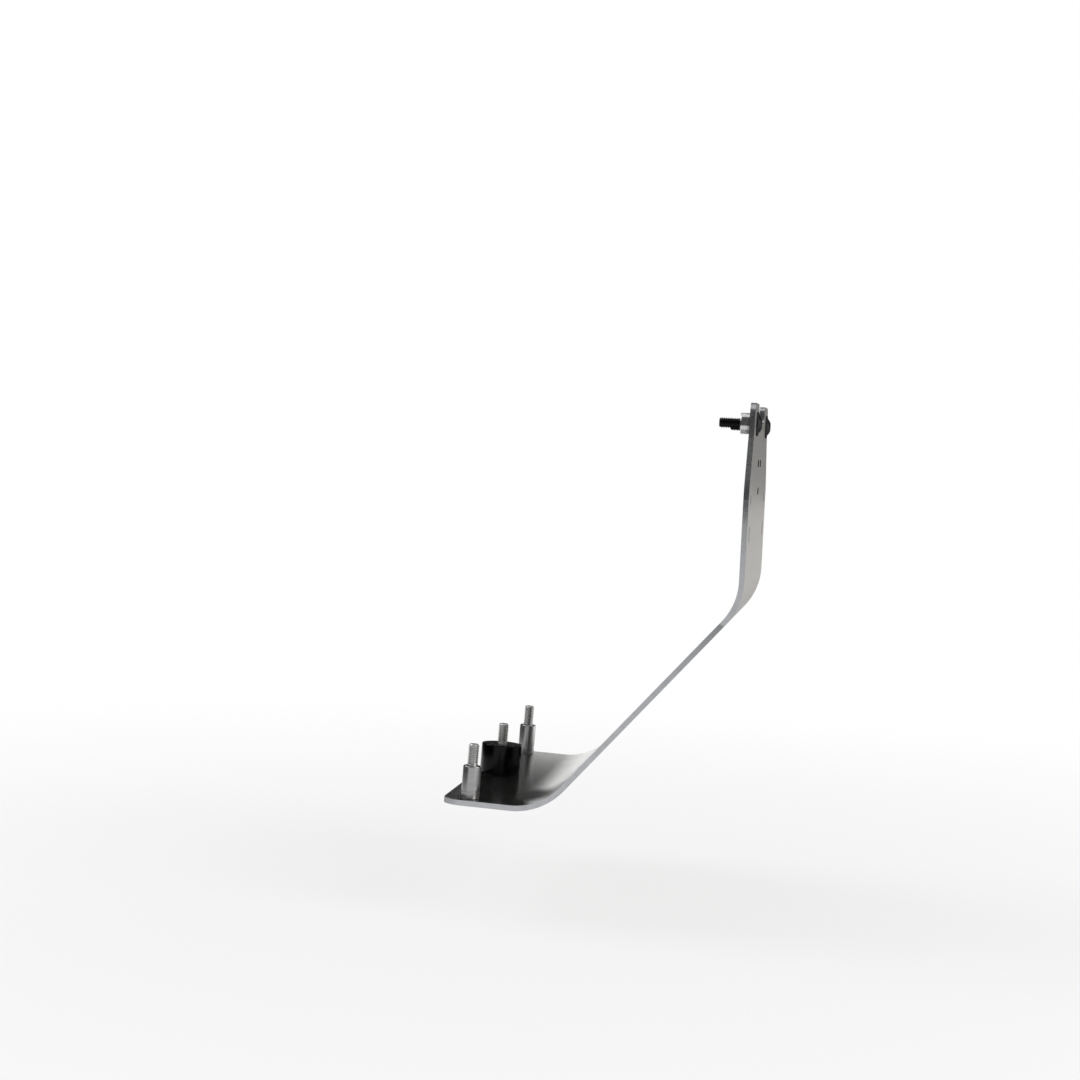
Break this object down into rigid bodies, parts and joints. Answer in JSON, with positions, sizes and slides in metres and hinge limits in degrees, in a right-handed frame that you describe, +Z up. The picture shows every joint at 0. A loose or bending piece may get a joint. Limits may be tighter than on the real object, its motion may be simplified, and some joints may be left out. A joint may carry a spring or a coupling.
{
  "type": "motorcycle engine guard",
  "caption": "Bent aluminium engine guard for a motorcycle, with upper ears, vent slots, screws and spacers.",
  "frame": {"origin": "midway between the two upper screws, in the plane where their spacers' rear ends meet the motorcycle's bracket", "axes": "+X forward along the upper screws, from their threads to their heads; +Y to the rider's left; +Z up along the front panel"},
  "size_m": [0.1606, 0.232, 0.2286],
  "materials": {
    "sheet": "brushed",
    "dark_screw": "darkened",
    "steel_screw": "plain",
    "bright_spacer": "turned",
    "steel_spacer": "turned",
    "black_spacer": "black anodised"
  },
  "bodies": {
    "root": {"guard_plate": "sheet", "upper_screw_right": "dark_screw", "upper_screw_left": "dark_screw", "upper_spacer_right": "bright_spacer", "upper_spacer_left": "bright_spacer", "sump_screw_right": "steel_screw", "sump_screw_centre": "steel_screw", "sump_screw_left": "steel_screw", "sump_spacer_right": "steel_spacer", "sump_spacer_centre": "black_spacer", "sump_spacer_left": "steel_spacer"}
  },
  "joints": []
}
